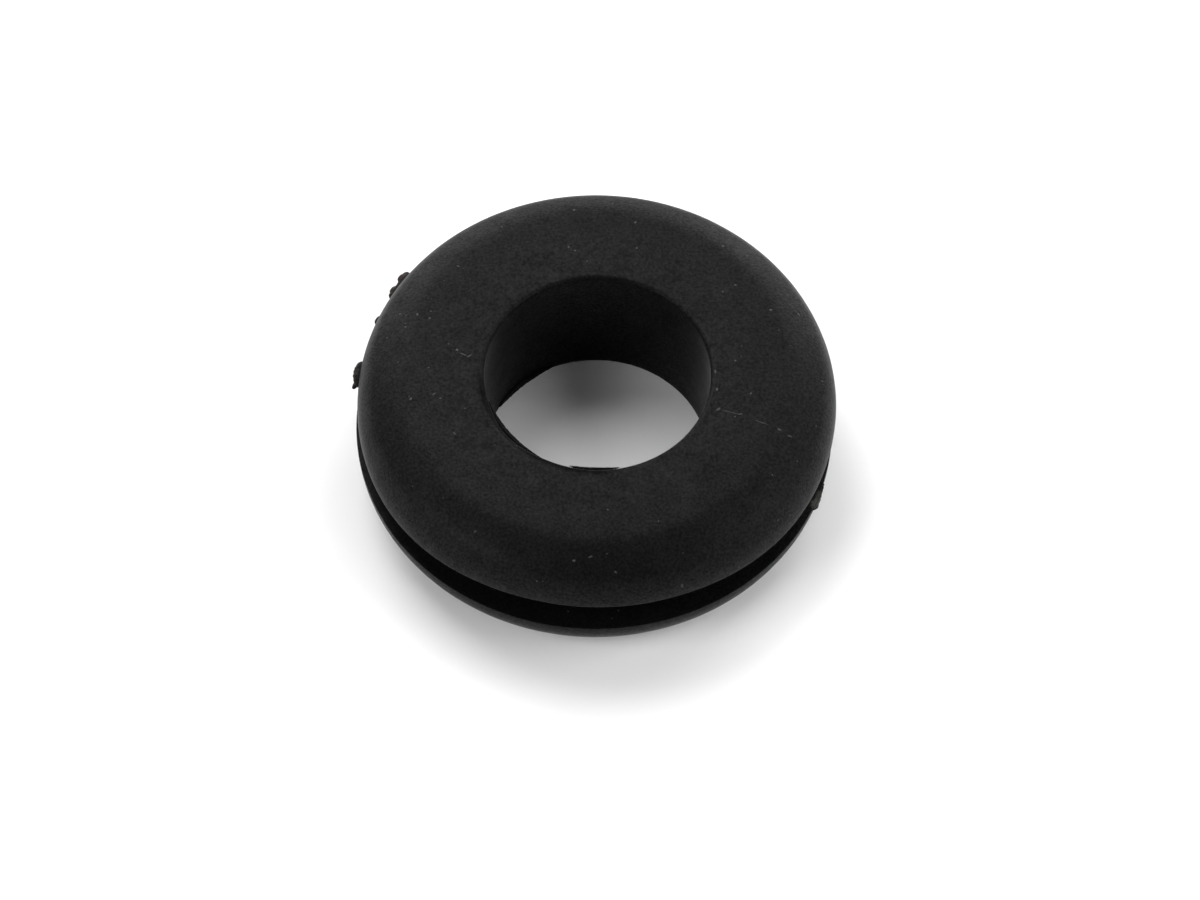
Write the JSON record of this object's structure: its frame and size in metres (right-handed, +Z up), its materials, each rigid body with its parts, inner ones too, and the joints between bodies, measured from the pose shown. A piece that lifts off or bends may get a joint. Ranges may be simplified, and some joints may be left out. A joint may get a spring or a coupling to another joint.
{
  "type": "rubber grommet",
  "caption": "Round rubber grommet: two quarter-rounded flanges, a groove between them for a panel's edge, and a plain bore for a lead.",
  "frame": {"origin": "on the axis of the bore, at the flat face that it rests on", "axes": "+Z up along the bore, +X right and +Y away from the viewer in the picture"},
  "size_m": [0.0274, 0.027, 0.0085],
  "materials": {
    "rubber": "matte charcoal black, fine moulded grain"
  },
  "bodies": {
    "root": {"grommet": "rubber"}
  },
  "joints": []
}
